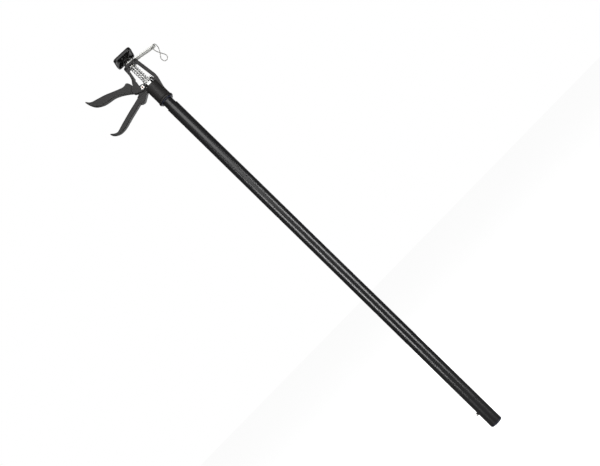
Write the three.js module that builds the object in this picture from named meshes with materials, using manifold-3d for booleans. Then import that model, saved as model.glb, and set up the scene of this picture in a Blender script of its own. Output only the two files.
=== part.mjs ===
// A telescopic quick-support pole: a squeeze-handle head drives a rod with a swivel pad
// out of the end of a two-part telescopic pole. Millimetres, +Z along the pole with the
// pad up, origin at the centre of the lower end face, levers towards -X.
import * as THREE from "three";
import { mergeVertices } from "three/addons/utils/BufferGeometryUtils.js";
import Module from "manifold-3d";

const wasm = await Module();
wasm.setup();

// ---------------------------------------------------------------- driving dimensions
const GAP = 0.3; // between pieces that touch
const SIDES = 36; // facets round a large circle

const OUTER_R = 15;
const OUTER_BORE = 13.7;
const OUTER_TOP = 1018.6;
const CAP_FLANGE = 3.5;
const CAP_DEPTH = 18;
const HOLE_R = 3.6;
const HOLE_FIRST = 41.1;
const HOLE_PITCH = 308.2;
const HOLE_COUNT = 4;

const INNER_R = 13.1;
const INNER_BORE = 11.7;
const INNER_BOTTOM = 24;

const COLLAR_MOUTH = 1038;
const COLLAR_R = 18.2;
const COLLAR_FRONT = 1089;
const COLLAR_SOCKET = 1082; // depth of the socket that takes the inner tube
const LIP_R = 19.8;
const LINER_R = 15.2;
const LINER_TOP = 1052;
const LINER_FLANGE = { r: 17.4, thick: 1.5 }; // covers the collar's mouth

const BAR_HALF = 9; // half depth of the yoke's bars, along Y
const TONGUE_HALF = 5; // half depth of the tongue between the lever's cheeks
const HANDLE_HALF = 7.5; // half depth of the fixed handle
const END_WALL = 1156.2; // window side of the end boss
const END_TOP = 1162; // pad side of the end boss
const BOSS_HALF = 13;

const ROD_R = 4;
const ROD_BORE = 4.3;
const ROD_BOTTOM = 830;
const ROD_SHOULDER = 1170.5;
const NECK_R = 2.6;
const NECK_TOP = 1177;

const PIVOT = { x: -17.7, z: 1099.1 };
const EAR_R = 7.2;
const CHEEK_INNER = 5.4;
const CHEEK_OUTER = 8.5;
const LEVER_HALF = 8;
const WEB_R = 15.5; // the lever is hollow between its cheeks inside this radius
const NOSE = { x: -9.2, z: 1101, r: 1.6 };
const RIVET_R = 2.9;
const RIVET_HEAD_R = 4.6;

const PLATE_BOTTOM = 1102.9;
const PLATE_T = 1.2;
const PLATE_HALF = 9;
const PLATE_X = [-10.1, 14.8];
const SEAT_T = 1;

const SPRING_R = 7.8; // to the wire's centre
const SPRING_WIRE = 0.95;
const SPRING_TURNS = 8.75;
const SPRING_CLOSED = 1; // closed turns at each end

const STRIP_LEAN = THREE.MathUtils.degToRad(11);
const STRIP_T = 2.5;
const STRIP_HALF = 9;
const STRIP_AXIS_Z = 1165.35; // middle of the strip where it crosses the rod's axis
const STRIP_LENGTH = 65.5; // from the rod's axis to the middle of the round tip
const RING_WIRE = 1;

const PAD_TURN = THREE.MathUtils.degToRad(6.4);
const PAD_SIDE = 50;
const PAD_CORNER = 8;
const PAD_BACK = 1179.4;
const PAD_FACE = 1187;
const FACING_T = 2.2;
const HUB_R = 11.4;
const HUB_BORE = 8.9;
const HUB_RIM = 1172.6;
const TILT_Z = 1175;
const HEAD_R = 7.3;
const TILT_PIN_R = 1.6;

// ---------------------------------------------------------------- materials
const material = (color, roughness, metalness) =>
  new THREE.MeshStandardMaterial({ color, roughness, metalness });
const MATERIALS = {
  tube: material(0x1c1c1d, 0.42, 0.3),
  casting: material(0x3c3a39, 0.5, 0.3),
  cap: material(0x12151f, 0.55, 0),
  liner: material(0x15192b, 0.5, 0),
  nylon: material(0xd8d5cc, 0.6, 0),
  chrome: material(0xd6d8da, 0.15, 1),
  steel: material(0xb4b4b0, 0.35, 0.9),
  wire: material(0xa6a4a1, 0.3, 0.9),
  copper: material(0x78332a, 0.4, 0.8),
  bronze: material(0x9a7b45, 0.4, 0.9),
  padPlastic: material(0x141414, 0.6, 0),
  rubber: material(0x1b1918, 0.85, 0),
};

// ---------------------------------------------------------------- solids
function solidOf(geometry) {
  const bare = geometry.index ? geometry.toNonIndexed() : geometry.clone();
  bare.deleteAttribute("normal");
  bare.deleteAttribute("uv");
  const merged = mergeVertices(bare, 1e-4);
  return new wasm.Manifold(
    new wasm.Mesh({
      numProp: 3,
      vertProperties: new Float32Array(merged.attributes.position.array),
      triVerts: new Uint32Array(merged.index.array),
    }),
  );
}

function geometryOf(solid) {
  const mesh = solid.getMesh();
  const points = new Float32Array(mesh.numVert * 3);
  for (let i = 0; i < mesh.numVert; i += 1) {
    points.set(mesh.vertProperties.subarray(i * mesh.numProp, i * mesh.numProp + 3), i * 3);
  }
  return new THREE.BufferGeometry()
    .setAttribute("position", new THREE.BufferAttribute(points, 3))
    .setIndex(new THREE.BufferAttribute(mesh.triVerts, 1));
}

const part = new THREE.Group();

function addPiece(name, shape, look) {
  const geometry = shape.isBufferGeometry ? shape : geometryOf(shape);
  geometry.computeVertexNormals();
  const mesh = new THREE.Mesh(geometry, look);
  mesh.name = name;
  part.add(mesh);
  return mesh;
}

const join = (solids) => solids.reduce((whole, next) => whole.add(next));
const cut = (solid, tools) => tools.reduce((whole, next) => whole.subtract(next), solid);

// A solid of revolution about the pole's axis from [radius, z] pairs, anticlockwise.
function turned(profile, sides = SIDES) {
  const points = profile.map(([r, z]) => new THREE.Vector2(r, z));
  points.push(points[0].clone());
  const lathe = new THREE.LatheGeometry(points, sides);
  lathe.rotateX(Math.PI / 2);
  return solidOf(lathe);
}

const tube = (rIn, rOut, z0, z1, sides = SIDES) =>
  turned([[rIn, z0], [rOut, z0], [rOut, z1], [rIn, z1]], sides);

function cylinder(axis, r, from, to, centre, sides = 24) {
  const rod = new THREE.CylinderGeometry(r, r, to - from, sides);
  rod.translate(0, (from + to) / 2, 0);
  if (axis === "x") rod.rotateZ(-Math.PI / 2);
  if (axis === "z") rod.rotateX(Math.PI / 2);
  rod.translate(centre.x ?? 0, centre.y ?? 0, centre.z ?? 0);
  return solidOf(rod);
}

function block(x0, x1, y0, y1, z0, z1) {
  const box = new THREE.BoxGeometry(x1 - x0, y1 - y0, z1 - z0);
  box.translate((x0 + x1) / 2, (y0 + y1) / 2, (z0 + z1) / 2);
  return solidOf(box);
}

// An outline in the XZ plane carried along Y from y0 to y1.
function sidePlate(shape, y0, y1, curveSegments = 4) {
  const options = { depth: y1 - y0, bevelEnabled: false, curveSegments };
  const plate = new THREE.ExtrudeGeometry(shape, options);
  plate.rotateX(Math.PI / 2);
  plate.translate(0, y1, 0);
  return solidOf(plate);
}

const symmetricPlate = (shape, half) => sidePlate(shape, -half, half);

// An outline in the XY plane carried along Z from z0 to z1.
function flatPlate(shape, z0, z1) {
  const options = { depth: z1 - z0, bevelEnabled: false, curveSegments: 8 };
  const plate = new THREE.ExtrudeGeometry(shape, options);
  plate.translate(0, 0, z0);
  return solidOf(plate);
}

// A closed outline through stretches: an array of points is a smooth curve through them,
// and a single point is reached by a straight line.
function outline(start, stretches) {
  const shape = new THREE.Shape();
  shape.moveTo(...start);
  for (const stretch of stretches) {
    if (Array.isArray(stretch[0])) {
      shape.splineThru(stretch.map(([x, y]) => new THREE.Vector2(x, y)));
    } else {
      shape.lineTo(...stretch);
    }
  }
  return shape;
}

function roundedRectangle(x0, x1, y0, y1, r) {
  const shape = new THREE.Shape();
  shape.moveTo(x0 + r, y0);
  shape.lineTo(x1 - r, y0);
  shape.absarc(x1 - r, y0 + r, r, -Math.PI / 2, 0);
  shape.lineTo(x1, y1 - r);
  shape.absarc(x1 - r, y1 - r, r, 0, Math.PI / 2);
  shape.lineTo(x0 + r, y1);
  shape.absarc(x0 + r, y1 - r, r, Math.PI / 2, Math.PI);
  shape.lineTo(x0, y0 + r);
  shape.absarc(x0 + r, y0 + r, r, Math.PI, 1.5 * Math.PI);
  return shape;
}

function circleShape(r, sides) {
  const shape = new THREE.Shape();
  for (let i = 0; i < sides; i += 1) {
    const angle = (2 * Math.PI * i) / sides;
    const place = [r * Math.cos(angle), r * Math.sin(angle)];
    if (i === 0) shape.moveTo(...place);
    else shape.lineTo(...place);
  }
  return shape;
}

class SpringCurve extends THREE.Curve {
  constructor(radius, z0, z1, turns, closed, wire) {
    super();
    Object.assign(this, { radius, z0, z1, turns, closed, wire });
  }

  // Closed turns at both ends, evenly pitched turns between them.
  getPoint(t, target = new THREE.Vector3()) {
    const turn = t * this.turns;
    const closedRise = 2.2 * this.wire;
    const open = this.turns - 2 * this.closed;
    const pitch = (this.z1 - this.z0 - 2 * this.closed * closedRise) / open;
    const low = Math.min(turn, this.closed) * closedRise;
    const middle = THREE.MathUtils.clamp(turn - this.closed, 0, open) * pitch;
    const high = Math.max(turn - this.turns + this.closed, 0) * closedRise;
    const angle = 2 * Math.PI * turn;
    const rise = this.z0 + low + middle + high;
    return target.set(this.radius * Math.cos(angle), this.radius * Math.sin(angle), rise);
  }
}

function coil(radius, wire, z0, z1, turns, closed, stepsPerTurn, sides) {
  const curve = new SpringCurve(radius, z0 + wire, z1 - wire, turns, closed, wire);
  return new THREE.ExtrudeGeometry(circleShape(wire, sides), {
    steps: Math.round(turns * stepsPerTurn),
    extrudePath: curve,
  });
}

// ---------------------------------------------------------------- lower pole
function outerTube() {
  const holes = [];
  for (let i = 0; i < HOLE_COUNT; i += 1) {
    const centre = { z: HOLE_FIRST + i * HOLE_PITCH };
    holes.push(cylinder("x", HOLE_R, -OUTER_R - 2, -OUTER_BORE + 3, centre));
  }
  return cut(tube(OUTER_BORE, OUTER_R, CAP_FLANGE + GAP, OUTER_TOP), holes);
}

function poleEndCap() {
  const plug = OUTER_BORE - GAP;
  return turned([
    [0, 0],
    [OUTER_R - 0.8, 0],
    [OUTER_R, 0.8],
    [OUTER_R, CAP_FLANGE],
    [plug, CAP_FLANGE],
    [plug, CAP_DEPTH],
    [0, CAP_DEPTH],
  ]);
}

// ---------------------------------------------------------------- upper pole
function innerTube() {
  const hole = cylinder("x", HOLE_R - 0.1, -INNER_R - 2, -INNER_BORE + 3, { z: HOLE_FIRST });
  return cut(tube(INNER_BORE, INNER_R, INNER_BOTTOM, COLLAR_SOCKET - GAP), [hole]);
}

function innerTubePlug() {
  const glide = OUTER_BORE - GAP;
  const insert = INNER_BORE - GAP;
  const top = INNER_BOTTOM - GAP;
  return turned([
    [0, top - 3],
    [glide, top - 3],
    [glide, top],
    [insert, top],
    [insert, top + 8],
    [0, top + 8],
  ]);
}

const BUTTON_FLANGE_X = -9; // inner end of the button's flange
const BUTTON_TIP_X = -20;

function snapButton() {
  const r = HOLE_R - 0.4;
  const dome = 2.4;
  const length = BUTTON_FLANGE_X - BUTTON_TIP_X;
  const profile = [new THREE.Vector2(0, 0), new THREE.Vector2(r + 1.2, 0)];
  profile.push(new THREE.Vector2(r + 1.2, 1.2), new THREE.Vector2(r, 1.2));
  for (let i = 0; i <= 5; i += 1) {
    const angle = (Math.PI / 2) * (i / 5);
    const height = length - dome + dome * Math.sin(angle);
    profile.push(new THREE.Vector2(i === 5 ? 0 : r * Math.cos(angle), height));
  }
  profile.push(profile[0].clone());
  const button = new THREE.LatheGeometry(profile, 24);
  button.rotateZ(Math.PI / 2);
  button.translate(BUTTON_FLANGE_X, 0, HOLE_FIRST);
  return solidOf(button);
}

// A bent strip: one leg behind the button, a round bend, one leg on the far wall.
function buttonSpring() {
  const leaf = { half: 3.5, thick: 0.6 };
  const near = BUTTON_FLANGE_X + GAP + leaf.thick / 2;
  const far = INNER_BORE - 1.4 - leaf.thick / 2;
  const path = new THREE.CatmullRomCurve3(
    [
      [near, HOLE_FIRST - 5],
      [near, HOLE_FIRST + 5],
      [near + 3, HOLE_FIRST + 20],
      [near + 9, HOLE_FIRST + 41],
      [far - 3, HOLE_FIRST + 47],
      [far, HOLE_FIRST + 38],
      [far, HOLE_FIRST + 15],
      [far, HOLE_FIRST - 3],
    ].map(([x, z]) => new THREE.Vector3(x, 0, z)),
  );
  const section = new THREE.Shape();
  section.moveTo(-leaf.half, -leaf.thick / 2);
  section.lineTo(leaf.half, -leaf.thick / 2);
  section.lineTo(leaf.half, leaf.thick / 2);
  section.lineTo(-leaf.half, leaf.thick / 2);
  return new THREE.ExtrudeGeometry(section, { steps: 40, extrudePath: path });
}

// ---------------------------------------------------------------- yoke casting
function collarBody() {
  return turned([
    [LINER_R + GAP, COLLAR_MOUTH],
    [LIP_R - 1.2, COLLAR_MOUTH],
    [LIP_R, COLLAR_MOUTH + 1.4],
    [LIP_R, COLLAR_MOUTH + 4.4],
    [LIP_R - 1.2, COLLAR_MOUTH + 6.2],
    [COLLAR_R, COLLAR_MOUTH + 7],
    [COLLAR_R, COLLAR_FRONT - 1],
    [COLLAR_R - 1, COLLAR_FRONT],
    [ROD_BORE + 1.7, COLLAR_FRONT],
    [ROD_BORE + 1.7, COLLAR_SOCKET],
    [INNER_R + GAP, COLLAR_SOCKET],
    [INNER_R + GAP, LINER_TOP + GAP],
    [LINER_R + GAP, LINER_TOP + GAP],
  ]);
}

// The hump and the bar on the release side, down to the collar.
function upperBar() {
  return outline(
    [12.6, END_TOP],
    [
      [11.9, END_WALL - 2],
      [18.3, 1099],
      [17.2, 1096],
      [10.7, 1096],
      [10.7, COLLAR_FRONT - 4],
      [16, COLLAR_FRONT - 24],
      [18, COLLAR_FRONT - 24],
      [[18.6, 1068.5], [21.6, 1081], [25, 1093.5], [25.9, 1100], [25.3, 1107]],
      [19.4, END_TOP - 4],
      [[18.7, END_TOP - 1.2], [17, END_TOP]],
    ],
  );
}

// The lug that backs the drive plates' upper end.
const plateLug = () => block(10.7, 16.4, -4.5, 4.5, COLLAR_FRONT - 2, PLATE_BOTTOM - GAP);

// The bar on the lever side, as far as the tongue.
function lowerBar() {
  return outline(
    [-11.9, END_TOP],
    [
      [-17, END_TOP],
      [[-18.8, END_TOP - 1.4], [-19.4, END_TOP - 5], [-20.4, 1141], [-22, 1135.5]],
      [-18, 1128.5],
      [-16.3, 1130],
      [-11.9, END_WALL - 2],
    ],
  );
}

// The tongue runs from the lower bar, round the pivot, into the root of the fixed handle.
function tongue() {
  return outline(
    [-14.6, 1141],
    [
      [-16.3, 1130],
      [-19.6, 1124],
      [-23, 1109],
      [[-21.4, 1104.8], [-17.5, 1105.9], [-12.9, 1103.6], [-11, 1098.2], [-12.4, 1093]],
      [-12.4, COLLAR_FRONT - 6],
      [-30, 1084],
      [-44.3, 1088],
      [-44.3, 1091.8],
      [-31.9, 1096.3],
      [[-32.1, 1100.5], [-31, 1105], [-27.9, 1109.4], [-26.2, 1111.2]],
      [-25.6, 1113.6],
      [-30.4, 1122.4],
      [[-27.9, 1126.2], [-23.8, 1131.8], [-20.5, 1141]],
    ],
  );
}

function fixedHandle() {
  return outline(
    [-12, 1087.4],
    [
      [-12, 1078],
      [[-17.6, 1083.2], [-21, 1081.4], [-34.5, 1073.4], [-40, 1071.6], [-45.6, 1073], [-50.1, 1076.6]],
      [
        [-57.9, 1074.4],
        [-83, 1068.4],
        [-108.6, 1061.6],
        [-122.2, 1060],
        [-133.9, 1061.8],
        [-143.7, 1067.8],
        [-149.4, 1075.2],
      ],
      [-147.4, 1077],
      [[-140.5, 1070.6], [-133.5, 1067.4], [-125, 1068.8], [-116.4, 1071.6], [-81.3, 1081], [-44.3, 1089.6]],
      [-30, 1088],
    ],
  );
}

function endBoss() {
  const plan = roundedRectangle(-19.2, 19.2, -BOSS_HALF, BOSS_HALF, 9);
  const tailLip = block(-12.2, -5, -4, 4, END_TOP - 1, 1170.2);
  return flatPlate(plan, END_WALL, END_TOP).add(tailLip);
}

// The room for the leaning release strip, open towards the pad beyond the rod.
function stripSlot() {
  const half = STRIP_T / 2 + GAP;
  const overTail = new THREE.BoxGeometry(11.2, 2 * STRIP_HALF + 2 * GAP, 2 * half);
  overTail.translate(-3.7, 0, 0);
  const beyond = new THREE.BoxGeometry(80, 2 * STRIP_HALF + 2 * GAP, 20 + half);
  beyond.translate(36, 0, 10 - half / 2);
  const rooms = [overTail, beyond].map((room) => {
    room.rotateY(STRIP_LEAN);
    room.translate(0, 0, STRIP_AXIS_Z);
    return solidOf(room);
  });
  return join(rooms);
}

function yokeCasting() {
  const body = join([
    collarBody(),
    symmetricPlate(upperBar(), BAR_HALF),
    symmetricPlate(lowerBar(), BAR_HALF),
    symmetricPlate(tongue(), TONGUE_HALF),
    symmetricPlate(fixedHandle(), HANDLE_HALF),
    plateLug(),
    endBoss(),
  ]);
  return cut(body, [
    tube(0, INNER_R + GAP, COLLAR_MOUTH - 5, COLLAR_SOCKET),
    tube(0, ROD_BORE + 1.7, COLLAR_SOCKET - 1, COLLAR_FRONT + 1),
    tube(0, LINER_R + GAP, COLLAR_MOUTH - 5, LINER_TOP + GAP),
    tube(0, ROD_BORE + 1, END_WALL - 1, END_TOP + 12, 24),
    cylinder("z", RELEASE_SPRING.pocket, RELEASE_SPRING.z0 - GAP, END_TOP + 4, RELEASE_SPRING),
    cylinder("y", RIVET_R + GAP, -20, 20, PIVOT),
    cylinder("y", EAR_R + 0.4, -20, -TONGUE_HALF, PIVOT),
    cylinder("y", EAR_R + 0.4, TONGUE_HALF, 20, PIVOT),
    cylinder("y", SET_SCREW.r + GAP, INNER_R, 25, SET_SCREW),
    stripSlot(),
  ]);
}

// ---------------------------------------------------------------- small parts of the head
const RELEASE_SPRING = { x: -7.7, z0: 1159.4, z1: 1164.6, r: 1.1, wire: 0.3, pocket: 1.7 };
const SET_SCREW = { z: 1066, r: 2.4 };

function collarLiner() {
  const rim = COLLAR_MOUTH - GAP;
  return turned([
    [INNER_R + GAP, rim - LINER_FLANGE.thick],
    [LINER_FLANGE.r, rim - LINER_FLANGE.thick],
    [LINER_FLANGE.r, rim],
    [LINER_R, rim],
    [LINER_R, LINER_TOP],
    [INNER_R + GAP, LINER_TOP],
  ]);
}

function collarSetScrew() {
  const screw = cylinder("y", SET_SCREW.r, INNER_R + GAP, COLLAR_R - 0.4, SET_SCREW, 20);
  return cut(screw, [cylinder("y", 1.3, COLLAR_R - 2.6, COLLAR_R + 1, SET_SCREW, 6)]);
}

function rodNut() {
  const hexR = 10.2;
  const top = PIVOT.z;
  const hex = new THREE.CylinderGeometry(hexR, hexR, top - COLLAR_FRONT - GAP, 6);
  hex.rotateX(Math.PI / 2);
  hex.rotateZ(Math.PI / 2);
  hex.translate(0, 0, (top + COLLAR_FRONT + GAP) / 2);
  const chamfer = turned([
    [0, COLLAR_FRONT],
    [hexR + 1, COLLAR_FRONT],
    [hexR + 1, top - 1.6],
    [hexR - 1.2, top],
    [0, top],
  ]);
  const shank = tube(0, ROD_BORE + 1.4, COLLAR_SOCKET + 1, COLLAR_FRONT + 1, 24);
  const bore = tube(0, ROD_BORE, COLLAR_SOCKET - 5, top + 5, 24);
  return cut(solidOf(hex).intersect(chamfer).add(shank), [bore]);
}

const rodBush = () => tube(ROD_BORE, ROD_BORE + 0.7, END_WALL + GAP, END_TOP - GAP, 24);

function pivotRivet() {
  const core = 1.9;
  const head = CHEEK_OUTER + GAP;
  const end = head + 1.2;
  const spool = [
    [core, -end],
    [RIVET_HEAD_R - 0.7, -end],
    [RIVET_HEAD_R, -head - 0.4],
    [RIVET_HEAD_R, -head],
    [RIVET_R, -head],
    [RIVET_R, head],
    [RIVET_HEAD_R, head],
    [RIVET_HEAD_R, head + 0.4],
    [RIVET_HEAD_R - 0.7, end],
    [core, end],
  ].map(([r, y]) => new THREE.Vector2(r, y));
  spool.push(spool[0].clone());
  const rivet = new THREE.LatheGeometry(spool, 24);
  rivet.translate(PIVOT.x, 0, PIVOT.z);
  return solidOf(rivet);
}

const rivetCore = () => cylinder("y", 1.6, -CHEEK_OUTER - 1.9, CHEEK_OUTER + 1.9, PIVOT);

// ---------------------------------------------------------------- squeeze lever
// The grip from the finger horn to its curled tip.
function leverGrip() {
  return outline(
    [-31.6, 1119.8],
    [
      [[-33.4, 1127.6], [-36.2, 1132.6], [-40, 1134.6], [-45, 1133.4], [-50.1, 1133.6]],
      [
        [-57.9, 1136.4],
        [-75.5, 1144.2],
        [-93, 1152],
        [-112.5, 1158.4],
        [-124.5, 1162.4],
        [-130.5, 1166.8],
        [-135.4, 1173.6],
      ],
      [-137.6, 1172.6],
      [
        [-135.9, 1165.6],
        [-131.4, 1155],
        [-124.2, 1146.4],
        [-110.6, 1138.2],
        [-96.9, 1134.4],
        [-83.2, 1131.8],
        [-69.6, 1126],
        [-54, 1115.6],
        [-42.3, 1105.6],
      ],
      [-32.4, 1103.2],
      [-26.4, 1111.6],
    ],
  );
}

// One cheek: from the grip, round the pivot, with an arm to the nose.
function leverCheek() {
  return outline(
    [-30.4, 1118.8],
    [
      [-34, 1119],
      [-44, 1110],
      [-42.6, 1103.4],
      [[-35, 1098], [-28, 1093.6], [-23.6, 1091.9], [-17.7, 1091.9]],
      [[-13.4, 1093.3], [-11.6, 1095.6], [NOSE.x, NOSE.z - NOSE.r]],
      [[NOSE.x + 1.2, NOSE.z - 1], [NOSE.x + NOSE.r, NOSE.z], [NOSE.x + 1.2, NOSE.z + 1]],
      [NOSE.x, NOSE.z + NOSE.r],
      [-11, NOSE.z + NOSE.r],
      [[-12.6, 1104.2], [-15.5, 1106], [-19, 1106.3]],
      [-21.8, 1109],
      [-18.7, 1123.4],
      [-20.6, 1127],
    ],
  );
}

function squeezeLever() {
  const grip = symmetricPlate(leverGrip(), LEVER_HALF);
  const nose = cylinder("y", NOSE.r, -CHEEK_OUTER, CHEEK_OUTER, NOSE, 16);
  const cheeks = [-1, 1].map((side) => {
    const near = side * CHEEK_INNER;
    const far = side * CHEEK_OUTER;
    return sidePlate(leverCheek(), Math.min(near, far), Math.max(near, far));
  });
  return cut(join([grip, nose, ...cheeks]), [
    cylinder("y", WEB_R, -CHEEK_INNER, CHEEK_INNER, PIVOT, SIDES).subtract(nose),
    cylinder("y", RIVET_R + GAP, -20, 20, PIVOT),
  ]);
}

// ---------------------------------------------------------------- drive
function drivePlate(z0) {
  const plan = roundedRectangle(...PLATE_X, -PLATE_HALF, PLATE_HALF, 2.5);
  return cut(flatPlate(plan, z0, z0 + PLATE_T), [tube(0, ROD_BORE, z0 - 1, z0 + 3, 24)]);
}

const UPPER_PLATE = PLATE_BOTTOM + PLATE_T + GAP;
const SEAT_BOTTOM = UPPER_PLATE + PLATE_T + GAP;
const SPRING_BOTTOM = SEAT_BOTTOM + SEAT_T + GAP;

function pushRod() {
  return turned(
    [
      [0, ROD_BOTTOM],
      [2.6, ROD_BOTTOM],
      [2.6, ROD_BOTTOM + 8],
      [ROD_R, ROD_BOTTOM + 8],
      [ROD_R, ROD_SHOULDER],
      [NECK_R, ROD_SHOULDER],
      [NECK_R, NECK_TOP],
      [0, NECK_TOP],
    ],
    24,
  );
}

const rodStop = () => tube(2.6 + GAP, INNER_BORE - 0.5, ROD_BOTTOM + 1, ROD_BOTTOM + 8 - GAP, 24);

// ---------------------------------------------------------------- release strip and ring
function releaseStrip() {
  const plan = new THREE.Shape();
  plan.absarc(0, 0, STRIP_HALF, Math.PI / 2, 1.5 * Math.PI);
  plan.absarc(STRIP_LENGTH, 0, STRIP_HALF, -Math.PI / 2, Math.PI / 2);
  const strip = new THREE.ExtrudeGeometry(plan, {
    depth: STRIP_T,
    bevelEnabled: false,
    curveSegments: 10,
  });
  strip.translate(0, 0, -STRIP_T / 2);
  const ringHole = cylinder("z", 2.9, -3, 3, { x: STRIP_LENGTH }, 20);
  const rodSlot = roundedRectangle(-5, 5, -ROD_BORE, ROD_BORE, ROD_BORE);
  const plate = cut(solidOf(strip), [ringHole, flatPlate(rodSlot, -3, 3)]);
  const mesh = addPiece("release_strip", plate, MATERIALS.steel);
  mesh.rotation.y = STRIP_LEAN;
  mesh.position.z = STRIP_AXIS_Z;
}

const RING = {
  x: 69.9, // middle of the small loop, which holds the strip's tip
  top: 1156.6,
  crossing: 1130.3,
  bottom: 1106.8,
};

function pullRing() {
  const pass = 1.25; // how far each strand steps aside where the two cross
  const path = new THREE.CatmullRomCurve3(
    [
      [RING.x, 0, RING.top],
      [RING.x + 4.2, 0, RING.top - 1.9],
      [RING.x + 5.7, 0, RING.top - 6],
      [RING.x + 4.4, -0.5, RING.top - 15],
      [RING.x - 1, -pass, RING.crossing],
      [RING.x - 8.2, -0.4, RING.bottom + 14],
      [RING.x - 9.6, 0, RING.bottom + 8],
      [RING.x - 7.4, 0, RING.bottom + 2],
      [RING.x - 2.4, 0, RING.bottom],
      [RING.x + 2.9, 0, RING.bottom + 2.2],
      [RING.x + 5, 0, RING.bottom + 8],
      [RING.x + 3.4, 0.4, RING.bottom + 14.5],
      [RING.x - 1, pass, RING.crossing],
      [RING.x - 5.4, 0.5, RING.top - 15],
      [RING.x - 5.7, 0, RING.top - 6],
      [RING.x - 4.2, 0, RING.top - 1.9],
    ].map((place) => new THREE.Vector3(...place)),
    true,
  );
  return solidOf(new THREE.TubeGeometry(path, 72, RING_WIRE, 8, true));
}

// ---------------------------------------------------------------- pad
function padPlate() {
  const half = PAD_SIDE / 2;
  const plan = roundedRectangle(-half, half, -half, half, PAD_CORNER);
  const lipPlan = roundedRectangle(-half + 2.6, half - 2.6, -half + 2.6, half - 2.6, PAD_CORNER - 2);
  const face = PAD_FACE - FACING_T - GAP;
  const dish = flatPlate(lipPlan, PAD_BACK - 1, PAD_BACK + 2.4);
  const hub = tube(0, HUB_R, HUB_RIM, face - 1);
  const ribs = [1, 3, 5, 7].map((eighth) => padRib((eighth * Math.PI) / 4));
  const plate = flatPlate(plan, PAD_BACK, face).subtract(dish);
  const room = tube(0, HUB_BORE, HUB_RIM - 1, PAD_BACK + 2.6);
  const pins = cylinder("y", TILT_PIN_R + GAP, -HUB_R - 1, HUB_R + 1, { z: TILT_Z });
  return cut(join([plate, hub, ...ribs]), [room, pins]);
}

// A triangular rib from the hub to a corner of the plate.
function padRib(angle) {
  const rib = new THREE.Shape();
  rib.moveTo(HUB_BORE + 1, HUB_RIM + 0.8);
  rib.lineTo(30, PAD_BACK + 1);
  rib.lineTo(30, PAD_BACK + 3);
  rib.lineTo(HUB_BORE + 1, PAD_BACK + 3);
  const plate = new THREE.ExtrudeGeometry(rib, { depth: 2.4, bevelEnabled: false });
  plate.rotateX(Math.PI / 2);
  plate.translate(0, 1.2, 0);
  plate.rotateZ(angle);
  return solidOf(plate);
}

function padFacing() {
  const half = PAD_SIDE / 2;
  const plan = roundedRectangle(-half, half, -half, half, PAD_CORNER);
  return flatPlate(plan, PAD_FACE - FACING_T, PAD_FACE);
}

function swivelHead() {
  const bottom = ROD_SHOULDER + GAP;
  const head = turned([
    [NECK_R + GAP, bottom],
    [HEAD_R, bottom],
    [HEAD_R, TILT_Z + 4.4],
    [4.9, TILT_Z + 4.4],
    [4.9, NECK_TOP - 2.2],
    [NECK_R + GAP, NECK_TOP - 2.2],
  ]);
  const sockets = [-1, 1].map((side) => {
    const ends = [side * 4.2, side * (HEAD_R + 1)].sort((a, b) => a - b);
    return cylinder("y", TILT_PIN_R + GAP, ...ends, { z: TILT_Z });
  });
  return cut(head, sockets);
}

const swivelClip = () => tube(NECK_R + GAP, 4.4, NECK_TOP - 1.8, NECK_TOP - 0.4, 24);

function tiltPin(side) {
  const ends = [side * 5, side * (HUB_R - GAP)].sort((a, b) => a - b);
  return cylinder("y", TILT_PIN_R, ...ends, { z: TILT_Z }, 16);
}

// ---------------------------------------------------------------- the part
addPiece("outer_tube", outerTube(), MATERIALS.tube);
addPiece("pole_end_cap", poleEndCap(), MATERIALS.cap);
addPiece("inner_tube", innerTube(), MATERIALS.tube);
addPiece("inner_tube_plug", innerTubePlug(), MATERIALS.nylon);
addPiece("snap_button", snapButton(), MATERIALS.steel);
addPiece("button_spring", buttonSpring(), MATERIALS.steel);

addPiece("yoke_casting", yokeCasting(), MATERIALS.casting);
addPiece("collar_liner", collarLiner(), MATERIALS.liner);
addPiece("collar_set_screw", collarSetScrew(), MATERIALS.steel);
addPiece("rod_nut", rodNut(), MATERIALS.chrome);
addPiece("rod_bush", rodBush(), MATERIALS.bronze);
addPiece("pivot_rivet", pivotRivet(), MATERIALS.chrome);
addPiece("rivet_core", rivetCore(), MATERIALS.copper);

addPiece("squeeze_lever", squeezeLever(), MATERIALS.casting);
addPiece("drive_plate_lower", drivePlate(PLATE_BOTTOM), MATERIALS.chrome);
addPiece("drive_plate_upper", drivePlate(UPPER_PLATE), MATERIALS.chrome);
addPiece(
  "spring_seat",
  tube(ROD_BORE, SPRING_R + 1.2, SEAT_BOTTOM, SEAT_BOTTOM + SEAT_T, 24),
  MATERIALS.chrome,
);
addPiece(
  "main_spring",
  coil(SPRING_R, SPRING_WIRE, SPRING_BOTTOM, END_WALL - GAP, SPRING_TURNS, SPRING_CLOSED, 16, 6),
  MATERIALS.chrome,
);
addPiece("push_rod", pushRod(), MATERIALS.chrome);
addPiece("rod_stop", rodStop(), MATERIALS.nylon);

releaseStrip();
const releaseCoil = addPiece(
  "release_spring",
  coil(RELEASE_SPRING.r, RELEASE_SPRING.wire, RELEASE_SPRING.z0, RELEASE_SPRING.z1, 5, 1, 10, 5),
  MATERIALS.steel,
);
releaseCoil.position.x = RELEASE_SPRING.x;
addPiece("pull_ring", pullRing(), MATERIALS.wire);

addPiece("swivel_clip", swivelClip(), MATERIALS.steel);
for (const [name, shape, look] of [
  ["swivel_head", swivelHead(), MATERIALS.steel],
  ["tilt_pin_near", tiltPin(-1), MATERIALS.steel],
  ["tilt_pin_far", tiltPin(1), MATERIALS.steel],
  ["pad_plate", padPlate(), MATERIALS.padPlastic],
  ["pad_facing", padFacing(), MATERIALS.rubber],
]) {
  addPiece(name, shape, look).rotation.z = PAD_TURN;
}

export default part;
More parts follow.
